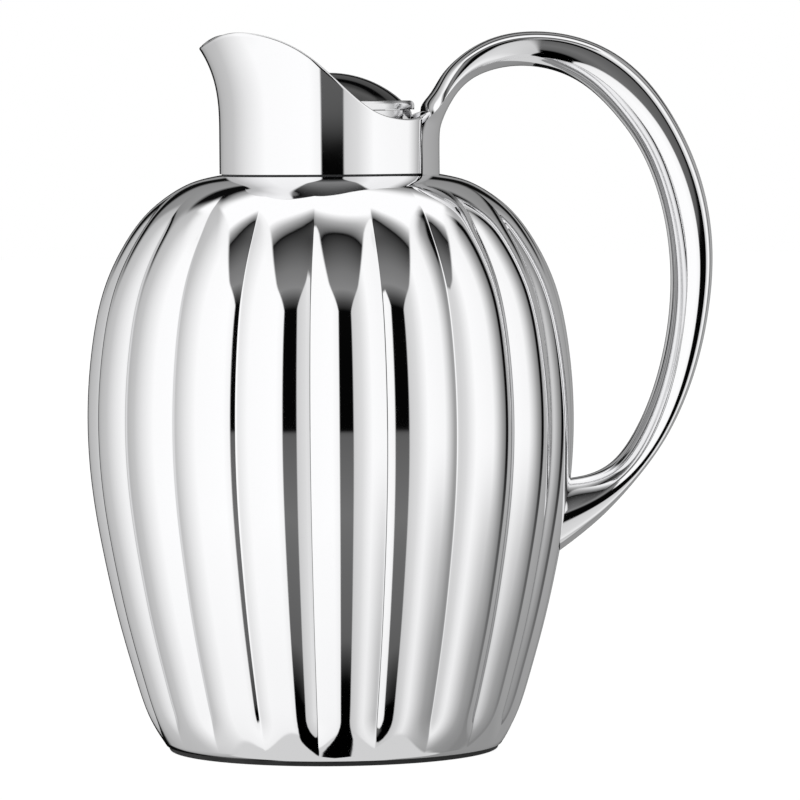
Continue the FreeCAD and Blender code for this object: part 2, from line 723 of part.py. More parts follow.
def make_flap():
    """Flap that tips open: steel ring with a hinge knuckle, black dome above and seal below."""
    base = size("flap_base")
    ring = cylinder("flap_disc", "flap_ring_radius", "flap_ring_top - flap_base", Vector(0, 0, base))
    rounded = doc.addObject("Part::Fillet", "flap_disc_rounded")
    rounded.Base = ring
    doc.recompute()
    top_edges = []
    for index, edge in enumerate(ring.Shape.Edges, start=1):
        if isinstance(edge.Curve, Part.Circle) and abs(edge.CenterOfMass.z - size("flap_ring_top")) < TOLERANCE:
            top_edges.append((index, size("flap_edge_round"), size("flap_edge_round")))
    rounded.Edges = top_edges
    bore = cylinder("flap_bore", "flap_ring_inner_radius", "flap_ring_top - flap_base", Vector(0, 0, base))
    annulus = cut("flap_annulus", rounded, bore)
    gap = size("ear_gap")
    half = size("hinge_half_length") + gap
    knuckle_half = size("knuckle_half_width")
    slot_low = base - OVERRUN
    slot_high = size("flap_ring_top") + OVERRUN
    left_slot = block(
        "flap_slot_left", (size("relief_front"), -half, slot_low), (LID_CUTTER_REACH, -knuckle_half, slot_high)
    )
    right_slot = block(
        "flap_slot_right", (size("relief_front"), knuckle_half, slot_low), (LID_CUTTER_REACH, half, slot_high)
    )
    slotted = cut("flap_slotted", annulus, fuse("flap_slots", [left_slot, right_slot]))
    knuckle = hinge_cylinder("knuckle_barrel", "hinge_barrel_radius", "knuckle_half_width")
    joined = fuse("flap_joined", [slotted, knuckle])
    pin_hole = hinge_cylinder("flap_pin_hole", "hinge_pin_radius + hinge_running_gap", f"knuckle_half_width + {OVERRUN}")
    keep(cut("flap_drilled", joined, pin_hole), "flap_ring")

    ring_top = size("flap_ring_top")
    rise = size("dome_top") - ring_top
    ball_radius = (size("dome_radius") ** 2 + rise ** 2) / (2 * rise)
    ball = doc.addObject("Part::Sphere", "dome_ball")
    ball.Radius = ball_radius
    ball.Placement = FreeCAD.Placement(Vector(0, 0, size("dome_top") - ball_radius), FreeCAD.Rotation())
    trim = cylinder("dome_trim", f"dome_radius + {OVERRUN}", "dome_top - flap_ring_top", Vector(0, 0, ring_top))
    dome = doc.addObject("Part::Common", "dome_cap")
    dome.Base = ball
    dome.Tool = trim
    keep(dome, "flap_dome")

    revolved_body("flap_seal", [
        (0, "flap_seal_base"), ("flap_seal_radius", "flap_seal_base"),
        ("flap_seal_radius", "flap_base"), (0, "flap_base"),
    ])


# ---------------------------------------------------------------- build, check and write

def build():
    """Make every sub-part."""
    body_outer = body_outer_solid()
    make_body_shell(body_outer)
    make_collar()
    make_handle(body_outer)
    make_base()
    make_liner()
    make_neck()
    make_stopper()
    make_lid_ring()
    make_flap()
    doc.recompute()


def check():
    """Stop if any object failed or any sub-part's shape is missing or invalid."""
    for obj in doc.Objects:
        if "Invalid" in obj.State or "Error" in obj.State:
            raise RuntimeError(f"{obj.Name} failed: {obj.State}")
    for label, obj in sub_parts.items():
        if obj.Shape.isNull() or not obj.Shape.isValid() or not obj.Shape.Solids:
            raise RuntimeError(f"{label} has no valid shape")


def write():
    """Write one STEP file per sub-part."""
    os.makedirs("parts", exist_ok=True)
    for label, obj in sub_parts.items():
        obj.Shape.exportStep(f"parts/{label}.step")
        box = obj.Shape.BoundBox
        print(f"{label:22s} solids {len(obj.Shape.Solids)} volume {obj.Shape.Volume:10.1f} "
              f"x {box.XMin:7.2f} {box.XMax:7.2f} y {box.YMin:7.2f} {box.YMax:7.2f} z {box.ZMin:7.2f} {box.ZMax:7.2f}")


build()
check()
write()
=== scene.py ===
"""Fluted insulated serving jug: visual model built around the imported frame.

Metres, +Z up, origin on the body's axis under the foot ring. The pouring lip points to -X, the handle to +X.
"""
import json
import math

import bpy
from bpy.props import FloatProperty, IntProperty, PointerProperty, StringProperty
from mathutils import Euler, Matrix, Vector


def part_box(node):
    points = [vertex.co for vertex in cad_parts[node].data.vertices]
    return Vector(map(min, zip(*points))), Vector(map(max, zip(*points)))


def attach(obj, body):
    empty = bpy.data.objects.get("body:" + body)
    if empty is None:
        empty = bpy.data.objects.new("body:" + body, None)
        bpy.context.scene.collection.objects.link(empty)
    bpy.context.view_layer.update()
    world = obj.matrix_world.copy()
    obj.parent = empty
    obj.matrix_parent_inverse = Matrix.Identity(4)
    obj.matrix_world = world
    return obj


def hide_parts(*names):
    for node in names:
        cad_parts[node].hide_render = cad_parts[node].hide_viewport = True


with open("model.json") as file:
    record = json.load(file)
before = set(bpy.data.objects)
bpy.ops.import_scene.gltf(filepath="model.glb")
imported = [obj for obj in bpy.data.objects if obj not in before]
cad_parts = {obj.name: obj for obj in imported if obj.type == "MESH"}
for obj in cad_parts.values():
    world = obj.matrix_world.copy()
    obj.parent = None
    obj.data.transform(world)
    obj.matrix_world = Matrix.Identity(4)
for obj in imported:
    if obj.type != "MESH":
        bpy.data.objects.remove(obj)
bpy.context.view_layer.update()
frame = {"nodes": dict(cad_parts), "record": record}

bl_info = {
    "name": "Fluted serving jug",
    "version": (1, 0, 0),
    "blender": (4, 5, 0),
    "location": "View3D > Sidebar > Jug",
    "description": "Builds an insulated serving jug in mirror-polished steel, piece by piece",
    "category": "Add Mesh",
}

MM = 0.001
MERGE_DISTANCE = 1e-6
FOOT_TOP_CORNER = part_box("foot_ring")[1]
SHELL_TOP_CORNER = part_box("body_shell")[1]
COLLAR_TOP_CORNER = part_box("collar")[1]
DOME_LOW_CORNER, DOME_TOP_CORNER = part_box("flap_dome")


# ---------------------------------------------------------------- sizes and colours

class JugSizes(bpy.types.PropertyGroup):
    """Sizes that the pieces are built from."""

    lobes: IntProperty(name="Lobes", description="Number of lobes around the body", default=20, min=3)
    groove_share: FloatProperty(
        name="Groove depth", description="Depth of the grooves as a share of the body's radius",
        default=0.0338, subtype="FACTOR", min=0, max=0.2)
    shell_wall: FloatProperty(
        name="Shell wall", description="Thickness of the pressed steel shell", default=1.0 * MM, unit="LENGTH")
    mouth_radius: FloatProperty(
        name="Mouth radius", description="Hole in the shell under the collar", default=33.5 * MM, unit="LENGTH")
    collar_radius: FloatProperty(
        name="Collar radius", description="Outer radius of the collar", default=COLLAR_TOP_CORNER.y,
        unit="LENGTH")
    collar_wall: FloatProperty(
        name="Collar wall", description="Thickness of the collar and its rim", default=1.2 * MM, unit="LENGTH")
    dome_radius: FloatProperty(
        name="Dome radius", description="Radius of the lid's black dome at its edge",
        default=DOME_TOP_CORNER.x, unit="LENGTH")


class JugColours(bpy.types.PropertyGroup):
    """Colours of the finishes, as sRGB hex."""

    steel: StringProperty(name="Mirror steel", description="Polished stainless steel", default="F2F2F3")
    lid_steel: StringProperty(name="Lid steel", description="Finely polished lid rings", default="E4E4E5")
    fixing_steel: StringProperty(name="Fixing steel", description="Machined fixings", default="BFBFC2")
    dome_black: StringProperty(name="Dome black", description="Gloss black moulded dome", default="050506")
    plastic_black: StringProperty(name="Plastic black", description="Satin moulded plastic", default="141415")
    rubber_black: StringProperty(name="Rubber black", description="Matte black foot ring", default="0C0C0D")
    silicone_grey: StringProperty(name="Silicone", description="Soft dark silicone seals", default="2B2C2E")
    glass_silver: StringProperty(name="Silvered glass", description="Silvered liner glass", default="D9DCE0")


def sizes():
    """The scene's jug sizes."""
    return bpy.context.scene.jug_sizes


def colours():
    """The scene's jug colours."""
    return bpy.context.scene.jug_colours


# ---------------------------------------------------------------- outlines, in millimetres

# Body through the crests of its lobes: height, radius. The grooves fade in and out between two heights each.
BODY_OUTLINE = [
    (1.8, 56.2), (9.5, 60.9), (23, 65.8), (43, 71.4), (63, 75.9), (89, 80.2), (113, 81.4),
    (136, 79.6), (156, 75.0), (169.5, 68.5), (179.5, 61.0), (186, 52.9), (189.8, 45.6), (192, 36.6),
]
GROOVE_FADE_LOW = (3.0, 16.0)
GROOVE_FADE_HIGH = (172.0, 188.0)

# Collar: the lip leans out by a power curve above its start, and the rest of the wall flares a little.
LIP_START = 206.0
LIP_RISE = 28.4
LIP_REACH = 6.6
LIP_CURL = 2.85
LIP_SHARPNESS = 3.0
FLARE_START = 192.0
FLARE_RISE = 47.0
FLARE_REACH = 1.4
FLARE_CURL = 1.5
FLARE_LOW = 0.3

# Beside the handle's root the collar's outer face swells out, and behind the root it draws back a little.
# Angles are in degrees off the back of the collar.
ROOT_ANGLE = 38.5
ROOT_SINK = 0.4
SWELL_ANGLES = (39, 62)
SWELL_HEIGHT = 0.75

# Seal between collar and shoulder: its height, and how far it stands back from the collar's face.
SEAM_HEIGHT = 0.45
SEAM_DEPTH = 0.7

# Rim of the collar in side view: x, height.
RIM_OUTLINE = [
    (-60, 218), (-50, 228.5), (-43.2, 234.3), (-38, 237.9), (-30, 239.1), (-20, 237.0), (-8.2, 230.6),
    (2.6, 221.0), (12.1, 213.4), (20, 210.7), (27, 210.8), (33, 213.0), (40, 214),
]
RIM_FIRST_GUESS = 220.0
RIM_ROUNDS = 40

# Handle, station by station from the seam under the collar, over the loop and down to the body:
# crest of the outer face, side crease, crest of the inner face (x, height each), greatest half width,
# how square the outer face is, and how much its flanks bulge out past the creases.
HANDLE_STATIONS = [
    ((35.8, 191.9), (29.2, 191.9), (36.8, 191.9), 23.4, 2.2, 0.0),
    ((35.8, 199.0), (29.2, 199.0), (36.8, 199.0), 23.4, 2.2, 0.0),
    ((35.6, 204.6), (29.2, 205.0), (36.9, 205.0), 23.2, 2.2, 0.0),
    ((33.4, 209.5), (30.3, 209.2), (37.4, 208.2), 21.4, 2.6, 0.0),
    ((31.3, 213.5), (33.2, 212.0), (38.5, 211.2), 18.6, 3.4, 0.0),
    ((33.9, 218.1), (36.4, 215.2), (40.2, 214.6), 15.6, 3.8, 0.1),
    ((38.0, 224.6), (39.9, 219.6), (43.0, 218.9), 13.2, 3.6, 0.3),
    ((44.6, 231.4), (45.8, 225.0), (48.0, 223.5), 11.6, 3.2, 0.6),
    ((55.0, 237.1), (55.6, 229.2), (57.0, 227.0), 10.3, 2.6, 0.9),
    ((70.6, 239.2), (69.6, 230.5), (69.0, 227.5), 9.3, 2.1, 1.0),
    ((91.7, 234.1), (86.8, 225.2), (84.8, 221.8), 9.0, 2.0, 1.0),
    ((107.0, 222.3), (99.9, 214.0), (96.8, 210.5), 9.0, 2.0, 1.0),
    ((119.2, 203.5), (110.2, 198.8), (106.0, 196.5), 9.0, 2.0, 1.0),
    ((126.4, 183.0), (116.8, 180.3), (112.0, 179.0), 9.0, 2.0, 1.0),
    ((128.5, 162.4), (119.1, 161.4), (114.4, 161.0), 9.0, 2.0, 1.0),
    ((126.8, 144.0), (118.2, 145.0), (114.0, 145.5), 9.0, 2.0, 1.0),
    ((121.4, 122.4), (114.2, 124.6), (110.4, 125.8), 9.2, 2.0, 1.0),
    ((112.0, 102.4), (106.5, 105.2), (103.2, 107.0), 9.6, 2.0, 1.0),
    ((102.2, 89.1), (98.0, 92.7), (95.0, 95.4), 10.2, 2.0, 0.9),
    ((89.8, 75.9), (87.2, 83.8), (85.0, 90.4), 11.0, 2.0, 0.7),
    ((76.0, 65.0), (74.4, 78.0), (73.0, 89.0), 11.6, 2.0, 0.6),
]

# The bulging flank of the handle: where it is widest, from crease 0 to crest 1, and the angle that it turns
# through on the way there.
FLANK_WIDEST = 0.7
FLANK_TURN = math.asin(0.59)


# ---------------------------------------------------------------- curves

def smooth_step(value, low, high):
    """Ease from 0 at low to 1 at high."""
    share = min(max((value - low) / (high - low), 0.0), 1.0)
    return share * share * (3 - 2 * share)


def natural_spline(knots, values):
    """Smooth curve through the values at the knots, returned as a function."""
    count = len(knots)
    gaps = [knots[i + 1] - knots[i] for i in range(count - 1)]
    upper = [0.0] * count
    right = [0.0] * count
    for i in range(1, count - 1):
        slope_change = (values[i + 1] - values[i]) / gaps[i] - (values[i] - values[i - 1]) / gaps[i - 1]
        pivot = 2 * (gaps[i - 1] + gaps[i]) - gaps[i - 1] * upper[i - 1]
        upper[i] = gaps[i] / pivot
        right[i] = (6 * slope_change - gaps[i - 1] * right[i - 1]) / pivot
    bend = [0.0] * count
    for i in range(count - 2, 0, -1):
        bend[i] = right[i] - upper[i] * bend[i + 1]

    def curve(at):
        i = 0
        while i < count - 2 and at > knots[i + 1]:
            i += 1
        gap = gaps[i]
        near = (knots[i + 1] - at) / gap
        far = 1 - near
        straight = near * values[i] + far * values[i + 1]
        return straight + ((near ** 3 - near) * bend[i] + (far ** 3 - far) * bend[i + 1]) * gap * gap / 6

    return curve


def spline_through(points):
    """Smooth curve through points of any dimension; returns the function and its total length."""
    knots = [0.0]
    for before, after in zip(points, points[1:]):
        knots.append(knots[-1] + math.dist(before[:2], after[:2]))
    curves = [natural_spline(knots, [point[i] for point in points]) for i in range(len(points[0]))]
    return (lambda at: tuple(curve(at) for curve in curves)), knots[-1]


# ---------------------------------------------------------------- modelling helpers

def deselect_everything():
    """Leave object mode with nothing selected."""
    if bpy.context.object and bpy.context.object.mode != "OBJECT":
        bpy.ops.object.mode_set(mode="OBJECT")
    bpy.ops.object.select_all(action="DESELECT")


def activate(piece):
    """Make one piece the only selected and active object."""
    deselect_everything()
    piece.select_set(True)
    bpy.context.view_layer.objects.active = piece


def stacked_rings(name, columns, rows, closed):
    """A ring of vertices extruded row by row; closed joins the last row back to the first."""
    deselect_everything()
    bpy.ops.mesh.primitive_circle_add(vertices=columns, radius=1.0, fill_type="NOTHING", location=(0, 0, 0))
    piece = bpy.context.object
    piece.name = name
    piece.data.name = name
    bpy.ops.object.mode_set(mode="EDIT")
    bpy.ops.mesh.select_all(action="SELECT")
    for _ in range(rows - 1):
        bpy.ops.mesh.extrude_region_move(TRANSFORM_OT_translate={"value": (0, 0, 1.0)})
    if closed:
        bpy.ops.mesh.select_all(action="DESELECT")
        bpy.ops.object.mode_set(mode="OBJECT")
        for vertex in piece.data.vertices:
            vertex.select = vertex.co.z < 0.5 or vertex.co.z > rows - 1.5
        bpy.ops.object.mode_set(mode="EDIT")
        # Changing the mode there and back selects the edges between the chosen vertices.
        bpy.ops.mesh.select_mode(type="EDGE")
        bpy.ops.mesh.select_mode(type="VERT")
        bpy.ops.mesh.bridge_edge_loops()
    bpy.ops.object.mode_set(mode="OBJECT")
    return piece


def shape_rings(piece, columns, place):
    """Move every vertex to place(row, column); rows are told apart by height, columns by angle."""
    for vertex in piece.data.vertices:
        row = round(vertex.co.z)
        column = round(math.atan2(vertex.co.y, vertex.co.x) / (2 * math.pi / columns)) % columns
        vertex.co = place(row, column)


def tidy_normals(piece, angle=30.0):
    """Merge doubles, point the faces outwards and smooth all but the sharp edges."""
    activate(piece)
    bpy.ops.object.mode_set(mode="EDIT")
    bpy.ops.mesh.select_all(action="SELECT")
    bpy.ops.mesh.remove_doubles(threshold=MERGE_DISTANCE)
    bpy.ops.mesh.normals_make_consistent(inside=False)
    bpy.ops.object.mode_set(mode="OBJECT")
    bpy.ops.object.shade_smooth_by_angle(angle=math.radians(angle))


def turned(name, outline, columns, angle=30.0):
    """A piece turned about Z from a closed outline of (radius, height) in metres."""
    rows = len(outline)
    piece = stacked_rings(name, columns, rows, closed=True)

    def place(row, column):
        radius, height = outline[row]
        around = 2 * math.pi * column / columns
        return Vector((radius * math.cos(around), radius * math.sin(around), height))

    shape_rings(piece, columns, place)
    tidy_normals(piece, angle)
    return piece


def rounded_outline(corners, radii, steps=6):
    """Round the corners of a closed outline; corners are (radius, height), radii one per corner."""
    outline = []
    count = len(corners)
    for i in range(count):
        here = Vector(corners[i])
        to_before = Vector(corners[i - 1]) - here
        to_after = Vector(corners[(i + 1) % count]) - here
        reach = radii[i]
        if reach <= 0:
            outline.append(tuple(here))
            continue
        start = here + to_before.normalized() * reach
        end = here + to_after.normalized() * reach
        for step in range(steps + 1):
            share = step / steps
            point = start * (1 - share) ** 2 + here * 2 * share * (1 - share) + end * share ** 2
            outline.append(tuple(point))
    return outline


# ---------------------------------------------------------------- materials

FINISHES = {}

# Plain noise seldom leaves these levels, so they are stretched to the ends of a range.
NOISE_DARK = 0.3
NOISE_LIGHT = 0.7


def srgb(hex_colour):
    """Linear RGBA of an sRGB hex colour."""
    linear = []
    for i in (0, 2, 4):
        level = int(hex_colour[i:i + 2], 16) / 255
        linear.append(level / 12.92 if level <= 0.04045 else ((level + 0.055) / 1.055) ** 2.4)
    return (*linear, 1.0)


def node(material, kind, links=None, **settings):
    """Add a node with its settings: sockets by name, properties in lower case, links as (node, socket)."""
    made = material.node_tree.nodes.new(kind)
    for name, value in settings.items():
        if name in made.inputs.keys():
            made.inputs[name].default_value = value
        else:
            setattr(made, name, value)
    for socket, (source, output) in (links or {}).items():
        material.node_tree.links.new(source.outputs[output], made.inputs[socket])
    return made


def new_material(name, **settings):
    """A Principled material; returns it with its shader and a node for the coordinates."""
    material = bpy.data.materials.new(name)
    material.use_nodes = True
    shader = material.node_tree.nodes["Principled BSDF"]
    for socket, value in settings.items():
        shader.inputs[socket.replace("_", " ")].default_value = value
    coordinates = node(material, "ShaderNodeTexCoord")
    return material, shader, coordinates


def varied(material, coordinates, scale, low, high, detail=2.0):
    """Soft unevenness on Object coordinates, running from low to high; returns its last node."""
    noise = node(
        material, "ShaderNodeTexNoise", {"Vector": (coordinates, "Object")}, Scale=scale, Detail=detail)
    ramp = node(material, "ShaderNodeMapRange", {"Value": (noise, "Fac")})
    levels = {"From Min": NOISE_DARK, "From Max": NOISE_LIGHT, "To Min": low, "To Max": high}
    for socket, value in levels.items():
        ramp.inputs[socket].default_value = value
    return ramp


def mirror_polished_stainless():
    """Deep-drawn stainless steel, buffed to a mirror: clear reflections with a faint buffing haze."""
    material, shader, coordinates = new_material(
        "mirror_polished_stainless", Base_Color=srgb(colours().steel), Metallic=1.0)
    haze = varied(material, coordinates, scale=1 / (18 * MM), low=0.025, high=0.05)
    material.node_tree.links.new(haze.outputs["Result"], shader.inputs["Roughness"])
    return material


def satin_polished_stainless():
    """Turned and finely polished lid rings: a softer shine, with faint turning lines."""
    material, shader, coordinates = new_material(
        "satin_polished_stainless", Base_Color=srgb(colours().lid_steel), Metallic=1.0)
    haze = varied(material, coordinates, scale=1 / (6 * MM), low=0.12, high=0.2)
    material.node_tree.links.new(haze.outputs["Result"], shader.inputs["Roughness"])
    lines = node(
        material, "ShaderNodeTexWave", {"Vector": (coordinates, "Object")}, Scale=1 / (2.4 * MM),
        Distortion=1.5, Detail=2.0)
    lines.wave_type = "RINGS"
    lines.rings_direction = "Z"
    bump = node(material, "ShaderNodeBump", {"Height": (lines, "Fac")}, Strength=0.05, Distance=0.02 * MM)
    material.node_tree.links.new(bump.outputs["Normal"], shader.inputs["Normal"])
    return material


def machined_stainless():
    """Plain machined fixings: duller steel with fine tool marks."""
    material, shader, coordinates = new_material(
        "machined_stainless", Base_Color=srgb(colours().fixing_steel), Metallic=1.0)
    haze = varied(material, coordinates, scale=1 / (3 * MM), low=0.28, high=0.42)
    material.node_tree.links.new(haze.outputs["Result"], shader.inputs["Roughness"])
    return material


def moulded_gloss_black():
    """Gloss black thermoset dome: wet-looking, with the slightest moulding waviness."""
    material, shader, coordinates = new_material(
        "moulded_gloss_black", Base_Color=srgb(colours().dome_black), IOR=1.5)
    sheen = varied(material, coordinates, scale=1 / (9 * MM), low=0.03, high=0.08)
    material.node_tree.links.new(sheen.outputs["Result"], shader.inputs["Roughness"])
    return material


def grained_polymer(name, colour, rough_low, rough_high, grain, depth):
    """Moulded polymer with a fine surface grain; grain and depth in metres."""
    material, shader, coordinates = new_material(name, Base_Color=srgb(colour), IOR=1.5)
    wear = varied(material, coordinates, scale=1 / (8 * MM), low=rough_low, high=rough_high)
    material.node_tree.links.new(wear.outputs["Result"], shader.inputs["Roughness"])
    speckle = node(
        material, "ShaderNodeTexNoise", {"Vector": (coordinates, "Object")}, Scale=1 / grain, Detail=3.0)
    bump = node(material, "ShaderNodeBump", {"Height": (speckle, "Fac")}, Strength=0.4, Distance=depth)
    material.node_tree.links.new(bump.outputs["Normal"], shader.inputs["Normal"])
    return material


def silvered_glass():
    """Vacuum liner: glass silvered on its hidden side, so it mirrors with a cool, slightly uneven tone."""
    material, shader, coordinates = new_material(
        "silvered_glass", Base_Color=srgb(colours().glass_silver), Metallic=1.0)
    haze = varied(material, coordinates, scale=1 / (25 * MM), low=0.05, high=0.14)
    material.node_tree.links.new(haze.outputs["Result"], shader.inputs["Roughness"])
    return material


def finish_for(slot):
    """The material of one of the record's slots, made on first use."""
    makers = {
        "polished_steel": mirror_polished_stainless,
        "lid_steel": satin_polished_stainless,
        "fixing_steel": machined_stainless,
        "gloss_black": moulded_gloss_black,
        "silvered_glass": silvered_glass,
        "black_plastic": lambda: grained_polymer(
            "satin_moulded_polypropylene", colours().plastic_black, 0.35, 0.5, 0.5 * MM, 0.02 * MM),
        "black_rubber": lambda: grained_polymer(
            "matte_moulded_rubber", colours().rubber_black, 0.6, 0.8, 0.6 * MM, 0.05 * MM),
        "silicone": lambda: grained_polymer(
            "soft_moulded_silicone", colours().silicone_grey, 0.45, 0.6, 0.8 * MM, 0.02 * MM),
    }
    if slot not in FINISHES:
        FINISHES[slot] = makers[slot]()
    return FINISHES[slot]


def finish_piece(piece, body, slot, *replaced):
    """Give a piece the material of its slot, hang it on its body and hide the nodes it stands for."""
    piece.data.materials.clear()
    piece.data.materials.append(finish_for(slot))
    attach(piece, body)
    if replaced:
        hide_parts(*replaced)


# ---------------------------------------------------------------- body

def body_profile():
    """Function from a share of the outline's length to (height, radius) in millimetres."""
    curve, length = spline_through(BODY_OUTLINE)
    return lambda share: curve(share * length)


def groove_depth(height, radius):
    """Depth of the groove at a height, in millimetres, with a soft fade at shoulder and foot."""
    rise = smooth_step(height, *GROOVE_FADE_LOW)
    fall = 1 - smooth_step(height, *GROOVE_FADE_HIGH)
    return radius * sizes().groove_share * rise * fall


# Where the columns of one half lobe stand, from its crest at 0 to the valley at 1, and where the small
# fillet in the valley starts.
LOBE_STATIONS = (0.0, 0.14, 0.28, 0.42, 0.56, 0.69, 0.8, 0.9, 0.97, 0.985, 1.0)
VALLEY_START = 0.97


def column_angle(column):
    """Angle around the body of one column, measured from the crest on +X."""
    half = len(LOBE_STATIONS) - 1
    lobe, place = divmod(column + half, 2 * half)
    share = LOBE_STATIONS[abs(place - half)] * (1 if place >= half else -1)
    return (2 * lobe + share) * math.pi / sizes().lobes


def lobe_inset(around, radius, depth):
    """How far a lobe's arc lies inside the radius of its crest."""
    half_step = math.pi / sizes().lobes
    offset = abs((around + half_step) % (2 * half_step) - half_step)
    past = max(offset / half_step - VALLEY_START, 0.0)
    offset -= half_step * past ** 2 / (2 * (1 - VALLEY_START))
    crease = radius - depth
    half_chord = crease * math.sin(half_step)
    sagitta = radius - crease * math.cos(half_step)
    arc_radius = (half_chord ** 2 + sagitta ** 2) / (2 * sagitta)
    centre = radius - arc_radius
    reach = centre * math.cos(offset) + math.sqrt(arc_radius ** 2 - (centre * math.sin(offset)) ** 2)
    return radius - reach


class JUG_OT_body(bpy.types.Operator):
    """Fluted body: a closed steel shell with convex lobes, narrow creases and a plain shoulder"""

    bl_idname = "jug.body"
    bl_label = "Fluted body"

    def execute(self, context):
        outer_rows, inner_rows = 110, 36
        nudge = 0.002
        columns = sizes().lobes * 2 * (len(LOBE_STATIONS) - 1)
        profile = body_profile()
        wall = sizes().shell_wall / MM
        outside = [profile(row / (outer_rows - 1)) for row in range(outer_rows)]
        inside = []
        for row in range(inner_rows):
            share = 1 - row / (inner_rows - 1)
            ahead = profile(min(share + nudge, 1.0))
            behind = profile(max(share - nudge, 0.0))
            run = math.dist(ahead, behind)
            height, radius = profile(share)
            inside.append((
                height + wall * (ahead[1] - behind[1]) / run,
                radius - wall * (ahead[0] - behind[0]) / run,
            ))
        inside[-1] = (outside[0][0], inside[-1][1])
        mouth = sizes().mouth_radius / MM
        top = outside[-1][0]
        lip = [(top, mouth), (top - wall, mouth)]
        outline = outside + lip + inside
        piece = stacked_rings("fluted_body", columns, len(outline), closed=True)

        def place(row, column):
            height, radius = outline[row]
            around = column_angle(column)
            reach = radius - lobe_inset(around, radius, groove_depth(height, radius))
            if row in (outer_rows, outer_rows + 1):
                reach = radius
            return Vector((reach * math.cos(around), reach * math.sin(around), height)) * MM

        shape_rings(piece, columns, place)
        tidy_normals(piece, 60.0)
        finish_piece(piece, "jug", "polished_steel", "body_shell")
        return {"FINISHED"}


# ---------------------------------------------------------------- collar

def rim_height():
    """Function from x to the rim's height, both in millimetres."""
    return natural_spline([x for x, _ in RIM_OUTLINE], [height for _, height in RIM_OUTLINE])


def collar_reach(around, height, inset):
    """Radius of the collar at an angle and height, in millimetres; an inset of 0 is its outer face."""
    lip = LIP_REACH * (max(height - LIP_START, 0.0) / LIP_RISE) ** LIP_CURL
    towards_lip = max(-math.cos(around), 0.0) ** LIP_SHARPNESS
    flare = FLARE_REACH * (max(height - FLARE_START, 0.0) / FLARE_RISE) ** FLARE_CURL - FLARE_LOW
    reach = sizes().collar_radius / MM - inset + lip * towards_lip + flare * (1 - towards_lip)
    if inset == 0:
        off_back = abs(math.degrees(math.atan2(math.sin(around), math.cos(around))))
        swell = SWELL_HEIGHT * (1 - smooth_step(off_back, *SWELL_ANGLES))
        reach += swell if off_back >= ROOT_ANGLE else -ROOT_SINK
    return reach


class JUG_OT_collar(bpy.types.Operator):
    """Collar: a thin round wall drawn out into the pouring lip, with a softly rounded rim"""

    bl_idname = "jug.collar"
    bl_label = "Collar and lip"

    def execute(self, context):
        columns, wall_rows, rim_rows = 288, 60, 9
        wall = sizes().collar_wall / MM
        rim = rim_height()
        base = SHELL_TOP_CORNER.z / MM + SEAM_HEIGHT
        tops = []
        for column in range(columns):
            around = 2 * math.pi * column / columns
            height = RIM_FIRST_GUESS
            for _ in range(RIM_ROUNDS):
                reach = collar_reach(around, height, wall / 2)
                height = (height + rim(reach * math.cos(around))) / 2
            tops.append(height)
        rows = 2 * wall_rows + rim_rows
        piece = stacked_rings("collar_with_lip", columns, rows, closed=True)

        def place(row, column):
            around = 2 * math.pi * column / columns
            top = tops[column] - wall / 2
            if row < wall_rows:
                height = base + (top - base) * row / (wall_rows - 1)
                reach = collar_reach(around, height, 0)
            elif row < wall_rows + rim_rows:
                turn = math.pi * (row - wall_rows + 1) / (rim_rows + 1)
                outer = collar_reach(around, top, 0)
                inner = collar_reach(around, top, wall)
                reach = (outer + inner) / 2 + (outer - inner) / 2 * math.cos(turn)
                height = top + wall / 2 * math.sin(turn)
            else:
                share = (row - wall_rows - rim_rows) / (wall_rows - 1)
                height = top + (base - top) * share
                reach = collar_reach(around, height, wall)
            return Vector((reach * math.cos(around), reach * math.sin(around), height)) * MM

        shape_rings(piece, columns, place)
        tidy_normals(piece, 50.0)
        finish_piece(piece, "jug", "polished_steel", "collar")
        self.seam_seal(base)
        return {"FINISHED"}

    def seam_seal(self, top):
        """Thin black seal that shows as a fine line between the collar and the body's shoulder."""
        outer = sizes().collar_radius / MM - SEAM_DEPTH
        inner = sizes().mouth_radius / MM
        low = top - 2 * SEAM_HEIGHT
        corners = [(inner, low), (outer, low), (outer, top), (inner, top)]
        outline = [
            (radius * MM, height * MM) for radius, height in rounded_outline(corners, [0.05, 0.1, 0.1, 0.05])]
        piece = turned("collar_seam_seal", outline, 160, 40.0)
        finish_piece(piece, "jug", "silicone")


# ---------------------------------------------------------------- handle

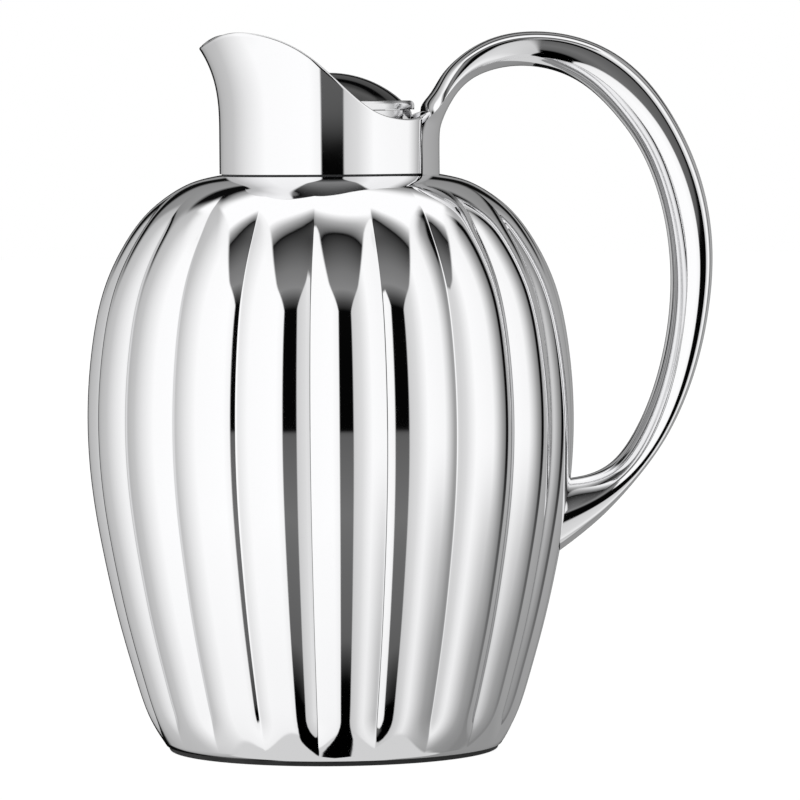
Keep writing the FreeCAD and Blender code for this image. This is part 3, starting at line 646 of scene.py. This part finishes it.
class JUG_OT_handle(bpy.types.Operator):
    """Handle: a hollow loop with a full outer face and a shallow inner face that meet in sharp side creases"""

    bl_idname = "jug.handle"
    bl_label = "Handle loop"

    def execute(self, context):
        outer_columns, inner_columns, rows = 40, 24, 260
        columns = outer_columns + inner_columns
        flat = [(*crest, *crease, *inner, *rest) for crest, crease, inner, *rest in HANDLE_STATIONS]
        middles = [((s[0] + s[4]) / 2, (s[1] + s[5]) / 2, *s) for s in flat]
        curve, length = spline_through(middles)
        stations = [curve(length * row / (rows - 1))[2:] for row in range(rows)]
        piece = stacked_rings("handle_loop", columns, rows, closed=False)

        def place(row, column):
            crest_x, crest_z, crease_x, crease_z, inner_x, inner_z, width, square, bulge = stations[row]
            if column <= outer_columns:
                plain = -math.cos(math.pi * column / outer_columns)
                side, flank, rise = self.flank(2 * column / outer_columns - 1)
                across = plain + (side * flank - plain) * bulge
                plain_rise = 1 - abs(plain) ** square
                rise = plain_rise + (rise - plain_rise) * bulge
                x = crease_x + (crest_x - crease_x) * rise
                z = crease_z + (crest_z - crease_z) * rise
            else:
                turn = math.pi * (column - outer_columns) / inner_columns
                across = math.cos(turn)
                rise = 1 - across * across
                x = crease_x + (inner_x - crease_x) * rise
                z = crease_z + (inner_z - crease_z) * rise
                across *= 1 + (math.cos(FLANK_TURN) - 1) * bulge
            return Vector((x, width * across, z)) * MM

        shape_rings(piece, columns, place)
        activate(piece)
        bpy.ops.object.mode_set(mode="EDIT")
        bpy.ops.mesh.select_all(action="DESELECT")
        bpy.ops.mesh.select_non_manifold()
        bpy.ops.mesh.edge_face_add()
        bpy.ops.object.mode_set(mode="OBJECT")
        tidy_normals(piece, 28.0)
        finish_piece(piece, "jug", "polished_steel", "handle_outer_shell", "handle_inner_shell")
        return {"FINISHED"}

    def flank(self, share):
        """Side, half width and rise of the bulging outer face, for a share from crease -1 to crease 1."""
        side = 1 if share > 0 else -1
        along = 1 - abs(share)
        if along < 0.5:
            turn = FLANK_TURN * (1 - along / 0.5)
            return side, math.cos(turn), FLANK_WIDEST * (1 - math.sin(turn) / math.sin(FLANK_TURN))
        turn = math.pi * (along - 0.5)
        return side, math.cos(turn), FLANK_WIDEST + (1 - FLANK_WIDEST) * math.sin(turn)


# ---------------------------------------------------------------- lid

class JUG_OT_lid_dome(bpy.types.Operator):
    """Lid dome: a shallow gloss black cap with a softly rounded edge, closed underneath"""

    bl_idname = "jug.lid_dome"
    bl_label = "Lid dome"

    def execute(self, context):
        radius = sizes().dome_radius
        base = DOME_LOW_CORNER.z
        rise = DOME_TOP_CORNER.z - base
        ball = (radius ** 2 + rise ** 2) / (2 * rise)
        edge = 0.5 * MM
        pole = 0.01 * MM
        steps = 40
        outline = [(pole, base), (radius - edge, base), (radius - 0.15 * edge, base + 0.2 * edge)]
        for step in range(steps):
            share = 1 - step / (steps - 1)
            reach = (radius - 0.05 * edge) * share
            outline.append((max(reach, pole), base + math.sqrt(ball ** 2 - reach ** 2) - (ball - rise)))
        piece = turned("lid_dome", outline, 128, 50.0)
        finish_piece(piece, "flap", "gloss_black", "flap_dome")
        return {"FINISHED"}


EASED_EDGE = 0.35 * MM
FLAT_ANGLE = math.radians(0.5)
EDGE_ANGLE = math.radians(32)


class JUG_OT_lid_rings(bpy.types.Operator):
    """Lid rings: the steel ring with its ears and the flap's ring, with their edges eased and polished"""

    bl_idname = "jug.lid_rings"
    bl_label = "Lid rings"

    def execute(self, context):
        self.eased("lid_ring", "lid_ring_eased", "lid")
        self.eased("flap_ring", "flap_ring_eased", "flap")
        return {"FINISHED"}

    def eased(self, name, label, body):
        """Merged copy of one ring with every sharp edge rounded off."""
        piece = bpy.data.objects.new(label, frame["nodes"][name].data.copy())
        piece.data.name = label
        bpy.context.collection.objects.link(piece)
        activate(piece)
        bpy.ops.object.mode_set(mode="EDIT")
        bpy.ops.mesh.select_all(action="SELECT")
        bpy.ops.mesh.remove_doubles(threshold=MERGE_DISTANCE)
        bpy.ops.mesh.dissolve_limited(angle_limit=FLAT_ANGLE)
        bpy.ops.object.mode_set(mode="OBJECT")
        bevel = piece.modifiers.new("eased_edges", "BEVEL")
        bevel.width = EASED_EDGE
        bevel.segments = 3
        bevel.limit_method = "ANGLE"
        bevel.angle_limit = EDGE_ANGLE
        bpy.ops.object.modifier_apply(modifier=bevel.name)
        tidy_normals(piece, 40.0)
        finish_piece(piece, body, "lid_steel", name)


class JUG_OT_foot(bpy.types.Operator):
    """Foot ring: moulded rubber with rounded edges"""

    bl_idname = "jug.foot"
    bl_label = "Foot ring"

    def execute(self, context):
        outer = FOOT_TOP_CORNER.x
        inner = 44 * MM
        top = FOOT_TOP_CORNER.z
        corners = [(inner, 0), (outer - 0.4 * MM, 0), (outer, top), (inner, top)]
        outline = rounded_outline(corners, [0.5 * MM, 0.7 * MM, 0.1 * MM, 0.1 * MM])
        piece = turned("foot_tread", outline, 160, 40.0)
        finish_piece(piece, "jug", "black_rubber", "foot_ring")
        return {"FINISHED"}


class JUG_OT_carried_nodes(bpy.types.Operator):
    """Finishes for the frame's own pieces that show as they are"""

    bl_idname = "jug.carried_nodes"
    bl_label = "Finishes of the carried pieces"

    def execute(self, context):
        for entry in frame["record"]["subparts"]:
            piece = frame["nodes"][entry["node"]]
            material = finish_for(entry["material_slot"])
            if not piece.data.materials:
                piece.data.materials.append(material)
            for index in range(len(piece.material_slots)):
                piece.material_slots[index].material = material
        return {"FINISHED"}


# ---------------------------------------------------------------- stage

CAMERA_AZIMUTH = math.radians(-4.1)
CAMERA_DISTANCE = 1.903
CAMERA_HEIGHT = 0.2164
AIM_TO_THE_RIGHT = 0.023
AIM_HEIGHT = 0.1165
CAMERA_ROLL = math.radians(-0.44)
LENS_LENGTH = 256.5
FLOOR_SIZE = 12.0
FLOOR_GLOW = 0.97

# Light around the jug, as sRGB grey by angle in degrees. The side banks go by direction from the camera's
# side, + to the right. Their rise, the front gap and the rear wall go by height above the level, and the
# ceiling from the front horizon over the top to the back. Pairs are where a change starts and ends.
SIDE_BANKS = [
    (-180, 0.08), (-163, 0.08), (-158, 0.66), (-145, 0.74), (-120, 0.8), (-95, 0.94), (-70, 1.04), (-20, 1.05),
    (-6, 1.0), (12, 0.82), (30, 0.9), (48, 1.04), (82, 1.02), (104, 0.66), (113, 0.5), (115, 0.06), (121, 0.06),
    (124, 0.7), (160, 0.62), (172, 0.5), (176, 0.08), (180, 0.08),
]
SIDE_RISE = [(-90, 0.86), (-56, 0.86), (-50, 0.95), (-20, 1.0), (90, 1.0)]
HIGH_BANK_LEVEL = 1.04
HIGH_BANK_RISE = (44, 56)

# Dark gap between the side banks on the camera's side, wider low down.
FRONT_GAP = [
    (-90, 0.02), (-38, 0.02), (-34, 0.38), (-20, 0.45), (-3.6, 0.38), (-2.8, 0.05), (27, 0.06), (90, 0.1),
]
GAP_CENTRE = 3.5
GAP_HALF_WIDTH = 11.5
GAP_EDGE = (-1.0, 1.5)
GAP_WIDENING = 9.0
GAP_WIDENING_DEPTH = (44, 60)

# Level panel overhead; its half width is a share of its height above the jug.
CEILING = [
    (0, 0.06), (27, 0.06), (31, 0.3), (38, 0.54), (48, 0.48), (60, 0.32), (67.5, 0.18), (69, 0.05), (70.5, 0.4),
    (79, 0.72), (89, 1.05), (180, 1.05),
]
CEILING_HALF_WIDTH = 0.4
CEILING_SOFTNESS = 0.04
CEILING_WIDENING = 0.24
CEILING_WIDENING_ANGLES = (24, 44)
CEILING_START = (26, 28)
CEILING_END = (119, 129)

# Grey patch low on the right, and the table's own light below it all.
LOW_RIGHT_LEVEL = 0.3
LOW_RIGHT_SHARE = 0.85
LOW_RIGHT_ANGLES = (35, 95)
LOW_RIGHT_DEPTH = (4, 30)
TABLE_LEVEL = 0.7
TABLE_EDGE = (51, 54)

# Wall behind the jug, with dark streaks that draw its outline.
REAR_WALL_ANGLES = (138, 150)
REAR_WALL_FOOT = (4, 10)
REAR_WALL = [
    (-90, 0.6), (11, 0.6), (13, 0.08), (19, 0.08), (22, 0.55), (35, 0.6), (38, 0.08), (45, 0.08), (48, 0.62),
    (56, 0.72), (58, 0.15), (62, 0.15), (65, 1.0), (90, 1.05),
]


def calculate(holder, operation, *values):
    """One step of arithmetic; values are numbers or (node, socket) pairs. Returns its own (node, socket)."""
    step = holder.node_tree.nodes.new("ShaderNodeMath")
    step.operation = operation
    for slot_index, value in enumerate(values):
        if isinstance(value, tuple):
            holder.node_tree.links.new(value[0].outputs[value[1]], step.inputs[slot_index])
        else:
            step.inputs[slot_index].default_value = value
    return step, "Value"


class JUG_OT_stage(bpy.types.Operator):
    """Stage: pale floor, studio light from all around and the camera"""

    bl_idname = "jug.stage"
    bl_label = "Studio stage"

    def execute(self, context):
        scene = context.scene
        scene.view_settings.view_transform = "Standard"
        self.surroundings(scene)
        self.floor()
        self.camera(scene)
        return {"FINISHED"}

    def surroundings(self, scene):
        """Studio light by direction: side banks, front gap, rear wall, ceiling and table."""
        world = bpy.data.worlds.new("studio")
        scene.world = world
        world.use_nodes = True
        background = world.node_tree.nodes["Background"]
        coordinates = node(world, "ShaderNodeTexCoord")
        direction = node(world, "ShaderNodeSeparateXYZ", {"Vector": (coordinates, "Generated")})
        east, north, up = (direction, "X"), (direction, "Y"), (direction, "Z")
        rightwards = self.sum_of(world, east, north, math.cos(CAMERA_AZIMUTH), math.sin(CAMERA_AZIMUTH))
        towards_camera = self.sum_of(world, east, north, math.sin(CAMERA_AZIMUTH), -math.cos(CAMERA_AZIMUTH))
        degrees = self.in_degrees(world, calculate(world, "ARCTAN2", rightwards, towards_camera))
        elevation = self.in_degrees(world, calculate(world, "ARCSINE", up))

        sides = self.level_curve(world, degrees, -180, 180, SIDE_BANKS)
        rise = self.level_curve(world, elevation, -90, 90, SIDE_RISE)
        banks = calculate(world, "MULTIPLY", sides, rise)
        high_up = self.ease(world, elevation, *HIGH_BANK_RISE)
        banks = self.blend(world, banks, HIGH_BANK_LEVEL, high_up)
        rear_wall = self.level_curve(world, elevation, -90, 90, REAR_WALL)
        behind = calculate(
            world, "MULTIPLY", self.ease(world, calculate(world, "ABSOLUTE", degrees), *REAR_WALL_ANGLES),
            self.ease(world, elevation, *REAR_WALL_FOOT))
        banks = self.blend(world, banks, rear_wall, behind)
        below = calculate(world, "MULTIPLY", elevation, -1.0)
        low_right = calculate(
            world, "MULTIPLY", self.ease(world, degrees, *LOW_RIGHT_ANGLES),
            self.ease(world, below, *LOW_RIGHT_DEPTH))
        low_right = calculate(world, "MULTIPLY", low_right, LOW_RIGHT_SHARE)
        banks = self.blend(world, banks, LOW_RIGHT_LEVEL, low_right)
        banks = self.blend(world, banks, TABLE_LEVEL, self.ease(world, below, *TABLE_EDGE))

        gap = self.level_curve(world, elevation, -90, 90, FRONT_GAP)
        low_down = self.ease(world, below, *GAP_WIDENING_DEPTH)
        half_width = calculate(
            world, "ADD", calculate(world, "MULTIPLY", low_down, GAP_WIDENING), GAP_HALF_WIDTH)
        offset = calculate(world, "ABSOLUTE", calculate(world, "SUBTRACT", degrees, GAP_CENTRE))
        outside = self.ease(world, calculate(world, "SUBTRACT", offset, half_width), *GAP_EDGE)
        walls = self.blend(world, gap, banks, outside)

        overhead = self.in_degrees(world, calculate(world, "ARCTAN2", up, towards_camera))
        ceiling = self.level_curve(world, overhead, 0, 180, CEILING)
        above = calculate(world, "MAXIMUM", up, 0.001)
        drift = calculate(world, "MULTIPLY", towards_camera, math.tan(math.radians(GAP_CENTRE)))
        off_centre = calculate(world, "ABSOLUTE", calculate(world, "SUBTRACT", rightwards, drift))
        sideways = calculate(world, "DIVIDE", off_centre, above)
        widening = calculate(
            world, "MULTIPLY", self.ease(world, overhead, *CEILING_WIDENING_ANGLES), CEILING_WIDENING)
        edge = calculate(world, "SUBTRACT", sideways, widening)
        beyond = self.ease(
            world, edge, CEILING_HALF_WIDTH - CEILING_SOFTNESS, CEILING_HALF_WIDTH + CEILING_SOFTNESS)
        in_front = self.ease(world, overhead, *CEILING_START)
        covered = calculate(world, "MULTIPLY", in_front, calculate(world, "SUBTRACT", 1.0, beyond))
        past_end = self.ease(world, overhead, *CEILING_END)
        covered = calculate(world, "MULTIPLY", covered, calculate(world, "SUBTRACT", 1.0, past_end))
        total = self.blend(world, walls, ceiling, covered)
        path = node(world, "ShaderNodeLightPath")
        seen = calculate(world, "MAXIMUM", total, (path, "Is Camera Ray"))
        world.node_tree.links.new(seen[0].outputs[seen[1]], background.inputs["Color"])

    def in_degrees(self, world, angle):
        """An angle in radians turned to degrees."""
        return calculate(world, "MULTIPLY", angle, 180 / math.pi)

    def blend(self, world, first, second, share):
        """Mix two values by a share from 0 to 1."""
        kept = calculate(world, "MULTIPLY", first, calculate(world, "SUBTRACT", 1.0, share))
        return calculate(world, "ADD", kept, calculate(world, "MULTIPLY", second, share))

    def ease(self, world, value, low, high):
        """Smooth rise from 0 at low to 1 at high."""
        step = node(world, "ShaderNodeMapRange", {"Value": value}, interpolation_type="SMOOTHSTEP")
        step.inputs["From Min"].default_value = low
        step.inputs["From Max"].default_value = high
        return step, "Result"

    def sum_of(self, world, first, second, first_share, second_share):
        """Weighted sum of two values."""
        return calculate(
            world, "ADD", calculate(world, "MULTIPLY", first, first_share),
            calculate(world, "MULTIPLY", second, second_share))

    def level_curve(self, world, value, low, high, levels):
        """Brightness by angle: levels are (angle, sRGB grey), between the angles low and high."""
        share = node(world, "ShaderNodeMapRange", {"Value": value})
        share.inputs["From Min"].default_value = low
        share.inputs["From Max"].default_value = high
        ramp = node(world, "ShaderNodeValToRGB", {"Fac": (share, "Result")})
        points = ramp.color_ramp.elements
        while len(points) < len(levels):
            points.new(0.5)
        for point, (angle, grey) in zip(points, levels):
            point.position = (angle - low) / (high - low)
            shade = grey ** 2.2
            point.color = (shade, shade, shade, 1)
        return ramp, "Color"

    def floor(self):
        """Pale glowing floor, left out of the mirror reflections, so the steel shows the banks of light."""
        deselect_everything()
        bpy.ops.mesh.primitive_plane_add(size=FLOOR_SIZE, location=(0, 0, 0))
        piece = bpy.context.object
        piece.name = "floor"
        material, shader, _ = new_material("pale_floor", Base_Color=srgb("404040"), Roughness=0.9)
        shader.inputs["Emission Color"].default_value = (1, 1, 1, 1)
        shader.inputs["Emission Strength"].default_value = FLOOR_GLOW
        piece.data.materials.append(material)
        piece.visible_glossy = False

    def camera(self, scene):
        """Long lens at the height of the lid, turned a little towards the lip."""
        data = bpy.data.cameras.new("camera")
        data.lens = LENS_LENGTH
        data.sensor_width = 36
        data.clip_end = 100
        camera = bpy.data.objects.new("camera", data)
        scene.collection.objects.link(camera)
        place = Vector((
            math.sin(CAMERA_AZIMUTH) * CAMERA_DISTANCE, -math.cos(CAMERA_AZIMUTH) * CAMERA_DISTANCE,
            CAMERA_HEIGHT))
        right = Vector((math.cos(CAMERA_AZIMUTH), math.sin(CAMERA_AZIMUTH), 0))
        target = right * AIM_TO_THE_RIGHT + Vector((0, 0, AIM_HEIGHT))
        camera.location = place
        camera.rotation_mode = "QUATERNION"
        facing = (target - place).to_track_quat("-Z", "Y")
        roll = Euler((0, 0, CAMERA_ROLL)).to_quaternion()
        camera.rotation_quaternion = facing @ roll
        scene.camera = camera


class JUG_PT_panel(bpy.types.Panel):
    """Buttons that build the jug, in order"""

    bl_label = "Serving jug"
    bl_idname = "JUG_PT_panel"
    bl_space_type = "VIEW_3D"
    bl_region_type = "UI"
    bl_category = "Jug"

    def draw(self, context):
        for operator in BUILD_ORDER:
            self.layout.operator(operator.bl_idname)


BUILD_ORDER = [
    JUG_OT_body, JUG_OT_collar, JUG_OT_handle, JUG_OT_lid_dome, JUG_OT_lid_rings, JUG_OT_foot,
    JUG_OT_carried_nodes, JUG_OT_stage,
]
CLASSES = [JugSizes, JugColours, *BUILD_ORDER, JUG_PT_panel]


def register():
    """Register the classes and hang the settings on the scene."""
    for item in CLASSES:
        bpy.utils.register_class(item)
    bpy.types.Scene.jug_sizes = PointerProperty(type=JugSizes)
    bpy.types.Scene.jug_colours = PointerProperty(type=JugColours)


def unregister():
    """Undo register."""
    del bpy.types.Scene.jug_colours
    del bpy.types.Scene.jug_sizes
    for item in reversed(CLASSES):
        bpy.utils.unregister_class(item)


def main():
    """Register the classes and settings, then build everything in order."""
    register()
    for operator in BUILD_ORDER:
        group, name = operator.bl_idname.split(".")
        getattr(getattr(bpy.ops, group), name)()
    deselect_everything()


if __name__ == "__main__":
    main()
